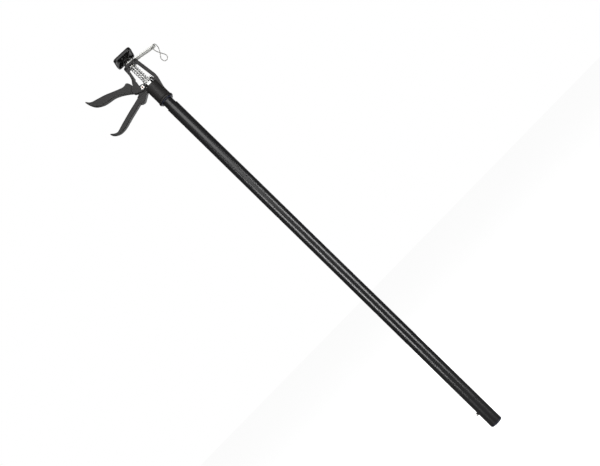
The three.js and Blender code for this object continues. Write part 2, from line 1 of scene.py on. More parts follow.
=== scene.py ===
"""Visual model of a telescopic quick-support pole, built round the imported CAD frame.

Helpers take millimetres in the part's frame; meshes are stored in metres. +Z runs along the pole to
the pad, the levers and the snap button point to -X, and the release strip to +X.
"""

import math

import bmesh
import bpy
import numpy as np
from mathutils import Matrix, Vector


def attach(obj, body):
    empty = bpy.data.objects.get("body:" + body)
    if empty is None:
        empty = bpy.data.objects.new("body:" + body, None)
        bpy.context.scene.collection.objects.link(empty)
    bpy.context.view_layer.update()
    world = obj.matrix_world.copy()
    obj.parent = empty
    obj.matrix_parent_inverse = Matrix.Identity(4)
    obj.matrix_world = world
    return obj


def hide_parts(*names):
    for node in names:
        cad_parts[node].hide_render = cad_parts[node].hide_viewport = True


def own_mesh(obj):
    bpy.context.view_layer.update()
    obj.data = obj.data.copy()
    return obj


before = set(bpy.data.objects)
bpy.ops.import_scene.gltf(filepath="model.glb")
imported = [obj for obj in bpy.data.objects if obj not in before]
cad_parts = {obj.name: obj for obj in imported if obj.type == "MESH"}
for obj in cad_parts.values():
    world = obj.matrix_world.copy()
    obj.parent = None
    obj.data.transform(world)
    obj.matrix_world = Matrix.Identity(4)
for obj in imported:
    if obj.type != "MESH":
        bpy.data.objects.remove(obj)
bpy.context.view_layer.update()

MM = 0.001
GAP = 0.3  # between pieces that touch
GRIP_FROM, GRIP_FULL = -33, -50  # where the handles' fuller rounding starts and is complete, along X


# ------------------------------------------------------------------ mesh helpers
def new_piece(name, vertices, faces):
    """A mesh object from points in millimetres, with its faces turned outwards."""
    mesh = bpy.data.meshes.new(name)
    mesh.from_pydata([tuple(MM * c for c in v) for v in vertices], [], faces)
    bm = bmesh.new()
    bm.from_mesh(mesh)
    bmesh.ops.remove_doubles(bm, verts=bm.verts, dist=1e-7)
    bmesh.ops.recalc_face_normals(bm, faces=bm.faces)
    bm.to_mesh(mesh)
    bm.free()
    obj = bpy.data.objects.new(name, mesh)
    bpy.context.scene.collection.objects.link(obj)
    return obj


def apply_modifiers(obj):
    graph = bpy.context.evaluated_depsgraph_get()
    graph.update()
    made = bpy.data.meshes.new_from_object(obj.evaluated_get(graph))
    made.name = obj.name
    obj.modifiers.clear()
    obj.data = made
    return obj


def modify(obj, kind, **settings):
    modifier = obj.modifiers.new(kind.lower(), kind)
    for key, value in settings.items():
        setattr(modifier, key, value)
    return apply_modifiers(obj)


def bevel(obj, width, segments=3, angle=35):
    return modify(
        obj,
        "BEVEL",
        width=width * MM,
        segments=segments,
        limit_method="ANGLE",
        angle_limit=math.radians(angle),
        harden_normals=False,
    )


def combine(obj, tools, operation="DIFFERENCE"):
    """An exact boolean of obj with each tool; the tools are used up."""
    for tool in tools:
        modify(obj, "BOOLEAN", operation=operation, solver="EXACT", object=tool)
        bpy.data.objects.remove(tool)
    return obj


def smooth(obj, angle=35):
    obj.data.shade_smooth()
    obj.data.set_sharp_from_angle(angle=math.radians(angle))
    return obj


def place(point, axis, centre):
    """A lathe point (a, b across the axis, h along it) in the part's frame."""
    a, b, h = point
    cx, cy, cz = centre
    if axis == "x":
        return (cx + h, cy + a, cz + b)
    if axis == "y":
        return (cx + b, cy + h, cz + a)
    return (cx + a, cy + b, cz + h)


def lathe(name, profile, segments=96, axis="z", centre=(0, 0, 0)):
    """A closed profile of (radius, height) turned about an axis through centre."""
    vertices, faces = [], []
    count = len(profile)
    for i in range(segments):
        turn = 2 * math.pi * i / segments
        for r, h in profile:
            point = (r * math.cos(turn), r * math.sin(turn), h)
            vertices.append(place(point, axis, centre))
    for i in range(segments):
        here, there = i * count, ((i + 1) % segments) * count
        for k in range(count):
            n = (k + 1) % count
            if profile[k][0] > 0 or profile[n][0] > 0:
                faces.append((here + k, here + n, there + n, there + k))
    return new_piece(name, vertices, faces)


def ring_profile(inner, outer, low, high):
    return [(inner, low), (outer, low), (outer, high), (inner, high)]


def rod(name, r, low, high, axis="z", centre=(0, 0, 0), segments=48):
    """A plain cutting tool for holes."""
    return lathe(name, [(0, low), (r, low), (r, high), (0, high)], segments, axis, centre)


def prism(name, plan, low, high, axis="z"):
    """A closed plan extruded along Z (plan is x, y) or along Y (plan is x, z)."""
    count = len(plan)
    vertices = []
    for h in (low, high):
        for a, b in plan:
            vertices.append((a, b, h) if axis == "z" else (a, h, b))
    faces = [tuple(range(count)), tuple(range(2 * count - 1, count - 1, -1))]
    for k in range(count):
        n = (k + 1) % count
        faces.append((k, n, count + n, count + k))
    return new_piece(name, vertices, faces)


def arc(cx, cy, r, start, end, steps):
    """Points on a circle's arc, angles in degrees."""
    turns = [math.radians(start + (end - start) * i / steps) for i in range(steps + 1)]
    return [(cx + r * math.cos(t), cy + r * math.sin(t)) for t in turns]


def rounded_rectangle(x0, x1, y0, y1, r, steps=8):
    return [
        *arc(x1 - r, y0 + r, r, -90, 0, steps),
        *arc(x1 - r, y1 - r, r, 0, 90, steps),
        *arc(x0 + r, y1 - r, r, 90, 180, steps),
        *arc(x0 + r, y0 + r, r, 180, 270, steps),
    ]


def spline(points, closed, per_span):
    """A Catmull-Rom curve through the points."""
    count = len(points)
    p = np.array(points, float)
    made = []
    for i in range(count if closed else count - 1):
        if closed:
            a, b, c, d = (p[(i + k) % count] for k in (-1, 0, 1, 2))
        else:
            a, b, c, d = (p[min(max(i + k, 0), count - 1)] for k in (-1, 0, 1, 2))
        for s in range(per_span):
            t = s / per_span
            made.append(
                0.5
                * (
                    2 * b
                    + (c - a) * t
                    + (2 * a - 5 * b + 4 * c - d) * t * t
                    + (3 * b - a - 3 * c + d) * t**3
                )
            )
    if not closed:
        made.append(p[-1])
    return made


def sweep(name, path, section, up, closed=False):
    """A section of (a, b) points carried along a path; b stays close to up."""
    path = [Vector(p) for p in path]
    up = Vector(up)
    count, sides = len(path), len(section)
    vertices, faces = [], []
    for i, point in enumerate(path):
        if closed:
            along = path[(i + 1) % count] - path[i - 1]
        else:
            along = path[min(i + 1, count - 1)] - path[max(i - 1, 0)]
        along.normalize()
        b_axis = (up - along * up.dot(along)).normalized()
        a_axis = along.cross(b_axis)
        for a, b in section:
            vertices.append(point + a_axis * a + b_axis * b)
    for i in range(count if closed else count - 1):
        here, there = i * sides, ((i + 1) % count) * sides
        for k in range(sides):
            n = (k + 1) % sides
            faces.append((here + k, here + n, there + n, there + k))
    if not closed:
        faces.append(tuple(range(sides)))
        faces.append(tuple(range(count * sides - 1, (count - 1) * sides - 1, -1)))
    return new_piece(name, vertices, faces)


def round_section(r, sides):
    return arc(0, 0, r, 0, 360 * (sides - 1) / sides, sides - 1)


def softened(name, node, voxel, passes, most_faces, grip_passes=0):
    """A cast or moulded piece: the CAD node's form with its edges rounded over.

    grip_passes round the handles further, away from the pivot.
    """
    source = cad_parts[node]
    obj = bpy.data.objects.new(name, source.data.copy())
    bpy.context.scene.collection.objects.link(obj)
    obj.data.materials.clear()
    modify(obj, "WELD", merge_threshold=1e-6)
    modify(obj, "REMESH", mode="VOXEL", voxel_size=voxel * MM, adaptivity=0.0)
    modify(obj, "SMOOTH", factor=0.5, iterations=passes)
    if grip_passes:
        group = obj.vertex_groups.new(name="grip")
        near, far = GRIP_FROM * MM, GRIP_FULL * MM
        for vertex in obj.data.vertices:
            share = (vertex.co.x - near) / (far - near)
            if share > 0:
                group.add([vertex.index], min(share, 1), "REPLACE")
        modify(obj, "SMOOTH", factor=0.5, iterations=grip_passes, vertex_group="grip")
    faces = 2 * len(obj.data.polygons)
    if faces > most_faces:
        modify(obj, "DECIMATE", ratio=most_faces / faces)
    obj.data.shade_smooth()
    return obj


# ------------------------------------------------------------------ materials
class Surface:
    """A Principled material with procedural colour, roughness and bump."""

    def __init__(self, name, metallic=0.0, **sockets):
        self.material = bpy.data.materials.new(name)
        self.material.use_nodes = True
        self.tree = self.material.node_tree
        self.shader = self.tree.nodes["Principled BSDF"]
        self.shader.inputs["Metallic"].default_value = metallic
        for socket, value in sockets.items():
            self.shader.inputs[socket.replace("_", " ")].default_value = value
        self.coordinates = self.tree.nodes.new("ShaderNodeTexCoord").outputs["Object"]

    def link(self, source, target):
        self.tree.links.new(source, target)

    def noise(self, size, stretch=(1, 1, 1), detail=4.0, roughness=0.55):
        """Noise with features of about size millimetres, drawn out by stretch along X, Y, Z."""
        mapping = self.tree.nodes.new("ShaderNodeMapping")
        mapping.inputs["Scale"].default_value = [1 / s for s in stretch]
        self.link(self.coordinates, mapping.inputs["Vector"])
        noise = self.tree.nodes.new("ShaderNodeTexNoise")
        noise.inputs["Scale"].default_value = 1 / (size * MM)
        noise.inputs["Detail"].default_value = detail
        noise.inputs["Roughness"].default_value = roughness
        self.link(mapping.outputs["Vector"], noise.inputs["Vector"])
        return noise.outputs["Fac"]

    def ramp(self, source, stops):
        """A colour ramp of (place, colour) stops."""
        node = self.tree.nodes.new("ShaderNodeValToRGB")
        elements = node.color_ramp.elements
        while len(elements) < len(stops):
            elements.new(0.5)
        for element, (where, colour) in zip(elements, stops):
            element.position = where
            element.color = (*colour, 1)
        self.link(source, node.inputs["Fac"])
        return node.outputs["Color"]

    def spread(self, source, low, high, start=0.3, end=0.7):
        node = self.tree.nodes.new("ShaderNodeMapRange")
        values = {"From Min": start, "From Max": end, "To Min": low, "To Max": high}
        for socket, value in values.items():
            node.inputs[socket].default_value = value
        self.link(source, node.inputs["Value"])
        return node.outputs["Result"]

    def mix(self, factor, first, second):
        node = self.tree.nodes.new("ShaderNodeMix")
        node.data_type = "RGBA"
        self.link(factor, node.inputs["Factor"])
        for socket, value in (("A", first), ("B", second)):
            target = [s for s in node.inputs if s.name == socket and s.type == "RGBA"][0]
            if isinstance(value, tuple):
                target.default_value = (*value, 1)
            else:
                self.link(value, target)
        return [s for s in node.outputs if s.type == "RGBA"][0]

    def colour(self, source):
        self.link(source, self.shader.inputs["Base Color"])

    def rough(self, source):
        self.link(source, self.shader.inputs["Roughness"])

    def edges(self, low=0.52, high=0.6):
        """1 on worn convex edges of a dense mesh, 0 elsewhere."""
        geometry = self.tree.nodes.new("ShaderNodeNewGeometry")
        return self.spread(geometry.outputs["Pointiness"], 0, 1, low, high)

    def bump(self, layers):
        """Bump from (height source, depth in millimetres, strength) layers."""
        normal = None
        for source, depth, strength in layers:
            node = self.tree.nodes.new("ShaderNodeBump")
            node.inputs["Distance"].default_value = depth * MM
            node.inputs["Strength"].default_value = strength
            self.link(source, node.inputs["Height"])
            if normal is not None:
                self.link(normal, node.inputs["Normal"])
            normal = node.outputs["Normal"]
        self.link(normal, self.shader.inputs["Normal"])


def painted_tube():
    """Black powder coat with fine orange peel and a few faint rubbed streaks along the tube."""
    s = Surface("black_powder_coat")
    cloud = s.noise(35, (1, 1, 6))
    streak = s.noise(1.2, (1, 1, 60), detail=6)
    base = s.ramp(cloud, [(0.3, (0.0035, 0.0035, 0.004)), (0.7, (0.006, 0.006, 0.0065))])
    rubbed = s.spread(streak, 0, 0.25, 0.62, 0.8)
    s.colour(s.mix(rubbed, base, (0.013, 0.013, 0.014)))
    s.rough(s.spread(s.noise(6, (1, 1, 8)), 0.26, 0.30))
    s.bump([(s.noise(1.4, detail=2), 0.008, 0.15)])
    return s.material


def cast_metal():
    """Charcoal lacquer over a die casting, rubbed a little lighter along its edges."""
    s = Surface("charcoal_casting", Specular_IOR_Level=0.28)
    base = s.ramp(
        s.noise(9), [(0.3, (0.0085, 0.0078, 0.0076)), (0.7, (0.0120, 0.0111, 0.0108))]
    )
    speck = s.ramp(s.noise(0.7, detail=2), [(0.45, (0, 0, 0)), (0.75, (1, 1, 1))])
    fleck = s.mix(s.spread(speck, 0, 0.3, 0, 1), base, (0.018, 0.017, 0.0165))
    worn = s.tree.nodes.new("ShaderNodeMath")
    worn.operation = "MULTIPLY"
    s.link(s.edges(), worn.inputs[0])
    s.link(s.spread(s.noise(5), 0, 0.55, 0.4, 0.65), worn.inputs[1])
    s.colour(s.mix(worn.outputs[0], fleck, (0.045, 0.043, 0.041)))
    s.rough(s.spread(s.noise(2.5), 0.38, 0.52))
    s.bump([(s.noise(0.9, detail=3), 0.06, 0.35)])
    return s.material


def plastic(name, dark, light, roughness, grain, **sockets):
    """Moulded plastic with a fine eroded grain."""
    s = Surface(name, **sockets)
    s.colour(s.ramp(s.noise(8), [(0.3, dark), (0.7, light)]))
    s.rough(s.spread(s.noise(2), roughness - 0.05, roughness + 0.07))
    s.bump([(s.noise(grain, detail=2), 0.008, 0.25)])
    return s.material


def plated(name, dark, light, roughness, stretch=(1, 1, 1)):
    """Bright plated metal: faint brushing, small tarnish clouds and fine scratches."""
    s = Surface(name, metallic=1.0)
    clouds = s.ramp(s.noise(4), [(0.3, dark), (0.7, light)])
    scratch = s.spread(s.noise(0.35, stretch, detail=6), 0, 0.5, 0.55, 0.75)
    s.colour(s.mix(scratch, clouds, tuple(0.7 * c for c in dark)))
    s.rough(s.spread(s.noise(1.5, stretch), roughness - 0.05, roughness + 0.08))
    s.bump([(s.noise(0.3, stretch, detail=4), 0.003, 0.2)])
    return s.material


def rubber():
    """Black rubber, slightly dusty, with a fine pebbled grain."""
    s = Surface("black_rubber")
    dust = s.spread(s.noise(3), 0, 0.5, 0.45, 0.75)
    base = s.ramp(s.noise(10), [(0.3, (0.012, 0.011, 0.011)), (0.7, (0.02, 0.018, 0.018))])
    s.colour(s.mix(dust, base, (0.05, 0.045, 0.042)))
    s.rough(s.spread(s.noise(2), 0.55, 0.75))
    s.bump([(s.noise(0.5, detail=2), 0.06, 0.5)])
    return s.material


# ------------------------------------------------------------------ lower pole
OUTER_R, OUTER_BORE, OUTER_TOP = 15, 13.7, 1018.6
INNER_R, INNER_BORE = 13.1, 11.7
INNER_LOW, INNER_HIGH = 24, 1081.7
TUBE_RIM = 0.35
CAP_FLANGE, CAP_TOP, CAP_RECESS, CAP_RECESS_R = 3.5, 18, 0.9, 9.5
HOLE_FLARE, HOLE_FLARE_DEPTH, HOLE_REACH = 2.3, 0.5, -8
HOLE_R, HOLE_FIRST, HOLE_PITCH, HOLE_COUNT = 3.6, 41.1, 308.2, 4


def rim_tube(name, inner, outer, low, high, holes):
    """A drawn tube with rolled rims and punched holes with softened edges."""
    soft = TUBE_RIM
    profile = [
        (inner, low + soft),
        (inner + soft, low),
        (outer - soft, low),
        (outer, low + soft),
        (outer, high - soft),
        (outer - soft, high),
        (inner + soft, high),
        (inner, high - soft),
    ]
    tube = lathe(name, profile, 128)
    cutters = []
    outside = -outer - 2
    for index, (r, z) in enumerate(holes):
        flare = [
            (0, outside),
            (r + HOLE_FLARE, outside),
            (r, -outer + HOLE_FLARE_DEPTH),
            (r, HOLE_REACH),
            (0, HOLE_REACH),
        ]
        cutters.append(lathe(f"hole_{index}", flare, 64, "x", (0, 0, z)))
    return smooth(combine(tube, cutters))


def outer_tube():
    holes = [(HOLE_R, HOLE_FIRST + i * HOLE_PITCH) for i in range(HOLE_COUNT)]
    return rim_tube("outer_tube_shell", OUTER_BORE, OUTER_R, CAP_FLANGE + GAP, OUTER_TOP, holes)


def inner_tube():
    holes = [(HOLE_R - 0.1, HOLE_FIRST)]
    return rim_tube("inner_tube_shell", INNER_BORE, INNER_R, INNER_LOW, INNER_HIGH, holes)


def end_cap():
    """A flanged plug with a shallow recess in its end."""
    plug = OUTER_BORE - GAP
    profile = [
        (0, CAP_RECESS),
        (CAP_RECESS_R, CAP_RECESS),
        (CAP_RECESS_R + 0.8, 0),
        (OUTER_R - 1.2, 0),
        (OUTER_R - 0.35, 0.35),
        (OUTER_R, 1.2),
        (OUTER_R, CAP_FLANGE - 0.3),
        (OUTER_R - 0.3, CAP_FLANGE),
        (plug, CAP_FLANGE),
        (plug, CAP_TOP),
        (0, CAP_TOP),
    ]
    return smooth(bevel(lathe("end_cap_moulding", profile), 0.25, 2))


BUTTON_FLANGE_X, BUTTON_LENGTH, BUTTON_FLANGE, BUTTON_DOME, DOME_STEPS = -9, 11, 1.2, 2.4, 12
TIP_BRIGHT_FULL, TIP_BRIGHT_FROM = -17.9, -17.0  # where the tip is all bright and where its darker base starts, along X


def button_steel():
    """Steel, dark near the tube and bright on its domed tip."""
    s = Surface("button_steel", metallic=1.0)
    along = s.tree.nodes.new("ShaderNodeSeparateXYZ")
    s.link(s.coordinates, along.inputs[0])
    # Dark near the tube, bright towards the domed tip along X.
    bright = s.spread(along.outputs["X"], 1, 0, TIP_BRIGHT_FULL * MM, TIP_BRIGHT_FROM * MM)
    worn = s.ramp(s.noise(1.5), [(0.3, (0.55, 0.54, 0.51)), (0.7, (0.68, 0.67, 0.64))])
    s.colour(s.mix(bright, (0.03, 0.028, 0.027), worn))
    s.rough(s.spread(s.noise(0.8), 0.30, 0.42))
    s.bump([(s.noise(0.4, detail=3), 0.004, 0.25)])
    return s.material


def snap_button():
    r = HOLE_R - 0.4
    wide = r + BUTTON_FLANGE
    profile = [(0, 0), (wide, 0), (wide, -BUTTON_FLANGE), (r, -BUTTON_FLANGE)]
    for i in range(DOME_STEPS + 1):
        turn = math.pi / 2 * i / DOME_STEPS
        height = BUTTON_LENGTH - BUTTON_DOME + BUTTON_DOME * math.sin(turn)
        profile.append((r * math.cos(turn) if i < DOME_STEPS else 0, -height))
    centre = (BUTTON_FLANGE_X, 0, HOLE_FIRST)
    return smooth(bevel(lathe("snap_button_dome", profile, 64, "x", centre), 0.15, 2), 50)


def button_leaf():
    """A bent strip inside the tube that pushes the button out."""
    near, far = -8.4, 10.0
    stations = [
        (near, -5),
        (near, 5),
        (near + 3, 20),
        (near + 9, 41),
        (far - 3, 47),
        (far, 38),
        (far, 15),
        (far, -3),
    ]
    path = spline([(x, 0, HOLE_FIRST + z) for x, z in stations], False, 10)
    half, thick, r = 3.5, 0.6, 0.15
    section = rounded_rectangle(-thick / 2, thick / 2, -half, half, r, 2)
    return smooth(sweep("button_leaf_spring", path, section, (0, 1, 0)), 50)


# ------------------------------------------------------------------ head
COLLAR_MOUTH, COLLAR_FRONT, LINER_R, LINER_TOP = 1038, 1089, 15.2, 1052
LINER_FLANGE_R, LINER_FLANGE_T = 17.4, 1.5
SCREW_R, SCREW_IN, SCREW_OUT, SCREW_Z = 2.4, 13.4, 17.8, 1066
NUT_CORNER, NUT_SHANK_R, NUT_SHANK_LOW = 10.2, 5.7, 1083
END_WALL = 1156.2
ROD_R, ROD_BORE, ROD_LOW, ROD_SHOULDER = 4, 4.3, 838, 1170.5
STUD_R, STUD_LOW, STUD_TOP = 2.6, 830, 1177
PIVOT_X, PIVOT_Z = -17.7, 1099.1
PLATE_LOW, PLATE_T, PLATE_HALF, PLATE_X = 1102.9, 1.2, 9, (-10.1, 14.8)
PLATE_HIGH = PLATE_LOW + PLATE_T + GAP
SEAT_LOW, SEAT_T = PLATE_HIGH + PLATE_T + GAP, 1
SPRING_R, SPRING_WIRE, SPRING_TURNS = 7.8, 0.95, 8.75
SPRING_LOW, SPRING_HIGH = SEAT_LOW + SEAT_T + GAP, END_WALL - GAP
RELEASE_X, RELEASE_R, RELEASE_WIRE, RELEASE_TURNS = -7.7, 1.1, 0.3, 5
RELEASE_LOW, RELEASE_HIGH = 1159.4, 1164.6


def collar_liner():
    """A plastic bush whose flange covers the collar's mouth."""
    bore, rim = INNER_R + GAP, COLLAR_MOUTH - GAP
    profile = [
        (bore, rim - LINER_FLANGE_T),
        (LINER_FLANGE_R, rim - LINER_FLANGE_T),
        (LINER_FLANGE_R, rim),
        (LINER_R, rim),
        (LINER_R, LINER_TOP),
        (bore, LINER_TOP),
    ]
    return smooth(bevel(lathe("collar_liner_ring", profile), 0.35, 3))


def set_screw():
    """A grub screw with a hexagonal socket, in the collar's far side."""
    r, centre = SCREW_R, (0, 0, SCREW_Z)
    profile = [
        (0, SCREW_IN),
        (r - 0.4, SCREW_IN),
        (r, SCREW_IN + 0.5),
        (r, SCREW_OUT - 0.3),
        (r - 0.3, SCREW_OUT),
        (0, SCREW_OUT),
    ]
    screw = lathe("collar_grub_screw", profile, 48, "y", centre)
    socket = rod("socket", 1.3, SCREW_OUT - 2.2, SCREW_OUT + 1.2, "y", centre, 6)
    return smooth(combine(screw, [socket]))


def rod_nut():
    """A chamfered hexagonal gland nut with a round shank in the collar."""
    corner, low, high = NUT_CORNER, COLLAR_FRONT + GAP, PIVOT_Z
    plan = [(corner * math.cos(k * math.pi / 3), corner * math.sin(k * math.pi / 3)) for k in range(6)]
    nut = prism("gland_nut", plan, low, high)
    chamfer = [
        (0, low - 1),
        (corner - 0.9, low - 1),
        (corner - 0.9, low),
        (corner + 0.4, low + 1.0),
        (corner + 0.4, high - 1.3),
        (corner - 1.2, high),
        (0, high),
    ]
    combine(nut, [lathe("chamfer", chamfer, 96)], "INTERSECT")
    combine(nut, [rod("shank", NUT_SHANK_R, NUT_SHANK_LOW, low + 1, segments=64)], "UNION")
    combine(nut, [rod("bore", ROD_BORE, NUT_SHANK_LOW - 3, high + 10.9, segments=64)])
    return smooth(bevel(nut, 0.22, 2, 25), 30)


def rivet():
    """A tubular rivet with the same rolled head on both sides."""
    head, reach = 8.8, 10.0
    side = [(4.6, head), (4.55, head + 0.45), (4.2, head + 0.85), (3.4, reach - 0.1), (2.7, reach)]
    side += [(2.2, reach - 0.1), (1.9, reach - 0.5)]
    profile = [(r, -y) for r, y in reversed(side)] + [(2.9, -head), (2.9, head)] + side
    return smooth(lathe("pivot_rivet_body", profile, 64, "y", (PIVOT_X, 0, PIVOT_Z)), 50)


def rivet_core():
    end = 10.4
    cap = [(1.6, end - 0.5), (1.45, end - 0.2), (1.0, end - 0.02), (0, end)]
    profile = [(r, -y) for r, y in reversed(cap)] + cap
    return smooth(lathe("rivet_core_pin", profile, 48, "y", (PIVOT_X, 0, PIVOT_Z)), 50)


def drive_plate(name, low):
    plan = rounded_rectangle(*PLATE_X, -PLATE_HALF, PLATE_HALF, 2.5)
    plate = prism(name, plan, low, low + PLATE_T)
    combine(plate, [rod("bore", ROD_BORE, low - 1, low + 3, segments=64)])
    return smooth(bevel(plate, 0.22, 2))


def spring_seat():
    profile = ring_profile(ROD_BORE, 9, SEAT_LOW, SEAT_LOW + SEAT_T)
    return smooth(bevel(lathe("spring_seat_washer", profile, 64), 0.22, 2))


def coil(name, centre_x, radius, wire, low, high, turns, steps, sides):
    """A helical spring with one closed turn at each end."""
    path = []
    count = round(turns * steps)
    closed_rise, open_rise = 2 * wire, high - low - 6 * wire
    for i in range(count + 1):
        turn = turns * i / count
        if turn < 1:
            rise = turn * closed_rise
        elif turn > turns - 1:
            rise = (high - low - closed_rise) - (turns - turn) * closed_rise
        else:
            rise = closed_rise + (turn - 1) / (turns - 2) * open_rise
        angle = 2 * math.pi * turn
        path.append(
            (centre_x + radius * math.cos(angle), radius * math.sin(angle), low + wire + rise)
        )
    return smooth(sweep(name, path, round_section(wire, sides), (0, 0, 1)), 60)


def push_rod():
    """A round bar with a thinner stud at each end, for the stop and the swivel head."""
    edge = 0.4
    profile = [
        (0, STUD_LOW),
        (STUD_R, STUD_LOW),
        (STUD_R, ROD_LOW),
        (ROD_R - edge, ROD_LOW),
        (ROD_R, ROD_LOW + edge),
        (ROD_R, ROD_SHOULDER - edge),
        (ROD_R - edge, ROD_SHOULDER),
        (STUD_R, ROD_SHOULDER),
        (STUD_R, STUD_TOP - edge),
        (STUD_R - edge, STUD_TOP),
        (0, STUD_TOP),
    ]
    return smooth(lathe("push_rod_bar", profile, 64))


# ------------------------------------------------------------------ release strip and ring
STRIP_LEAN, STRIP_T, STRIP_HALF = math.radians(11), 2.5, 9
STRIP_AXIS_Z, STRIP_LENGTH, STRIP_SLOT, RING_HOLE_R = 1165.35, 65.5, 0.7, 2.9
RING_X, RING_TOP, RING_CROSSING, RING_LOW, RING_WIRE = 69.9, 1156.6, 1130.3, 1106.8, 1.0


def release_strip():
    """A round-ended plate, modelled flat and then leant and lifted into place."""
    plan = arc(0, 0, STRIP_HALF, 90, 270, 32) + arc(STRIP_LENGTH, 0, STRIP_HALF, -90, 90, 32)
    strip = prism("release_strip_plate", plan, -STRIP_T / 2, STRIP_T / 2)
    left, right = arc(-STRIP_SLOT, 0, ROD_BORE, 90, 270, 24), arc(STRIP_SLOT, 0, ROD_BORE, -90, 90, 24)
    cutters = [
        prism("slot", left + right, -3, 3),
        rod("ring_hole", RING_HOLE_R, -3, 3, centre=(STRIP_LENGTH, 0, 0)),
    ]
    smooth(bevel(combine(strip, cutters), 0.35, 3))
    lean = Matrix.Rotation(STRIP_LEAN, 4, "Y")
    strip.data.transform(Matrix.Translation((0, 0, STRIP_AXIS_Z * MM)) @ lean)
    return strip


def pull_ring():
    """One closed wire bent into a figure of eight; aside keeps the wires apart where they cross."""
    x, top, low, aside = RING_X, RING_TOP, RING_LOW, 1.25
    stations = [
        (x, 0, top),
        (x + 4.2, 0, top - 1.9),
        (x + 5.7, 0, top - 6),
        (x + 4.4, -0.5, top - 15),
        (x - 1, -aside, RING_CROSSING),
        (x - 8.2, -0.4, low + 14),
        (x - 9.6, 0, low + 8),
        (x - 7.4, 0, low + 2),
        (x - 2.4, 0, low),
        (x + 2.9, 0, low + 2.2),
        (x + 5, 0, low + 8),
        (x + 3.4, 0.4, low + 14.5),
        (x - 1, aside, RING_CROSSING),
        (x - 5.4, 0.5, top - 15),
        (x - 5.7, 0, top - 6),
        (x - 4.2, 0, top - 1.9),
    ]
    path = spline(stations, True, 12)
    return smooth(sweep("wire_pull_ring", path, round_section(RING_WIRE, 16), (0, 1, 0), True), 60)


# ------------------------------------------------------------------ pad
PAD_TURN = math.radians(6.4)
PAD_FACE, FACING_T, PAD_HALF, PAD_CORNER = 1187, 2.2, 25, 8
GROOVE_PITCH, GROOVE_DEPTH, GROOVE_END = 6, 0.6, 3
TILT_Z, TILT_PIN_R, TILT_PIN_FROM, HUB_R = 1175, 1.6, 5, 11.4
HEAD_R, HEAD_LOW, HEAD_BORE, CLIP_BORE, CLIP_SEAT = 7.3, 1170.8, 2.9, 4.9, 1174.8


def turn_pad(obj):
    obj.data.transform(Matrix.Rotation(PAD_TURN, 4, "Z"))
    return obj


def pad_facing():
    """The rubber face, with shallow grooves that cross its outer side."""
    plan = rounded_rectangle(-PAD_HALF, PAD_HALF, -PAD_HALF, PAD_HALF, PAD_CORNER)
    facing = prism("pad_rubber", plan, PAD_FACE - FACING_T, PAD_FACE)
    bevel(facing, 0.5, 3)
    grooves = []
    floor, clear, end = PAD_FACE - GROOVE_DEPTH, PAD_FACE + 1, PAD_HALF - GROOVE_END
    for k in range(-3, 4):
        x = k * GROOVE_PITCH
        across = [(x - 0.5, floor), (x + 0.5, floor), (x + 0.8, clear), (x - 0.8, clear)]
        grooves.append(prism(f"groove_{k}", across, -end, end, "y"))
    return turn_pad(smooth(combine(facing, grooves)))


def swivel_head():
    """A round block that turns on the rod's stud, with a counterbore for the clip."""
    low, high = HEAD_LOW, TILT_Z + 4.4
    profile = [
        (HEAD_BORE, low),
        (HEAD_R - 0.6, low),
        (HEAD_R, low + 0.6),
        (HEAD_R, high - 0.5),
        (HEAD_R - 0.5, high),
        (CLIP_BORE, high),
        (CLIP_BORE, CLIP_SEAT),
        (HEAD_BORE, CLIP_SEAT),
    ]
    head = lathe("swivel_head_block", profile, 64)
    sockets = []
    for side in (-1, 1):
        low_y, high_y = sorted((side * 4.2, side * (HEAD_R + 1)))
        sockets.append(rod(f"socket_{side}", TILT_PIN_R + GAP, low_y, high_y, "y", (0, 0, TILT_Z)))
    return turn_pad(smooth(combine(head, sockets)))


def tilt_pin(name, side):
    r, near, far = TILT_PIN_R, TILT_PIN_FROM, HUB_R - GAP
    profile = [(0, near), (r - 0.3, near), (r, near + 0.3), (r, far - 0.4), (r - 0.4, far), (0, far)]
    outline = [(across, side * along) for across, along in profile]
    return turn_pad(smooth(lathe(name, outline, 48, "y", (0, 0, TILT_Z))))


# ------------------------------------------------------------------ assembly
BLACK_COAT = painted_tube()
CASTING = cast_metal()
CHROME = plated("bright_chrome", (0.40, 0.40, 0.39), (0.52, 0.52, 0.51), 0.30)
ROD_CHROME = plated("rod_chrome", (0.68, 0.68, 0.67), (0.80, 0.80, 0.79), 0.36, (1, 1, 12))
NICKEL = plated("rivet_nickel", (0.68, 0.67, 0.65), (0.82, 0.81, 0.79), 0.32)
STEEL = plated("zinc_steel", (0.56, 0.56, 0.54), (0.67, 0.67, 0.64), 0.50, (14, 1, 1))
WIRE = plated("zinc_wire", (0.29, 0.285, 0.27), (0.38, 0.375, 0.36), 0.50)
DARK_STEEL = plated("blackened_steel", (0.045, 0.042, 0.040), (0.075, 0.070, 0.066), 0.40)
COPPER = plated("copper_core", (0.17, 0.05, 0.025), (0.30, 0.09, 0.045), 0.35)
BRONZE = plated("bronze_bush", (0.42, 0.26, 0.10), (0.55, 0.36, 0.16), 0.30)
NAVY = plastic("navy_plastic", (0.0065, 0.0085, 0.020), (0.010, 0.013, 0.030), 0.38, 0.4)
CAP_NAVY = plastic("cap_plastic", (0.0065, 0.008, 0.018), (0.010, 0.0125, 0.026), 0.42, 0.4)
NYLON = plastic("nylon", (0.55, 0.54, 0.50), (0.66, 0.65, 0.61), 0.45, 0.5)
PAD_BLACK = plastic(
    "pad_plastic", (0.003, 0.003, 0.0028), (0.006, 0.0057, 0.0055), 0.27, 0.6, Specular_IOR_Level=0.3
)
RUBBER = rubber()

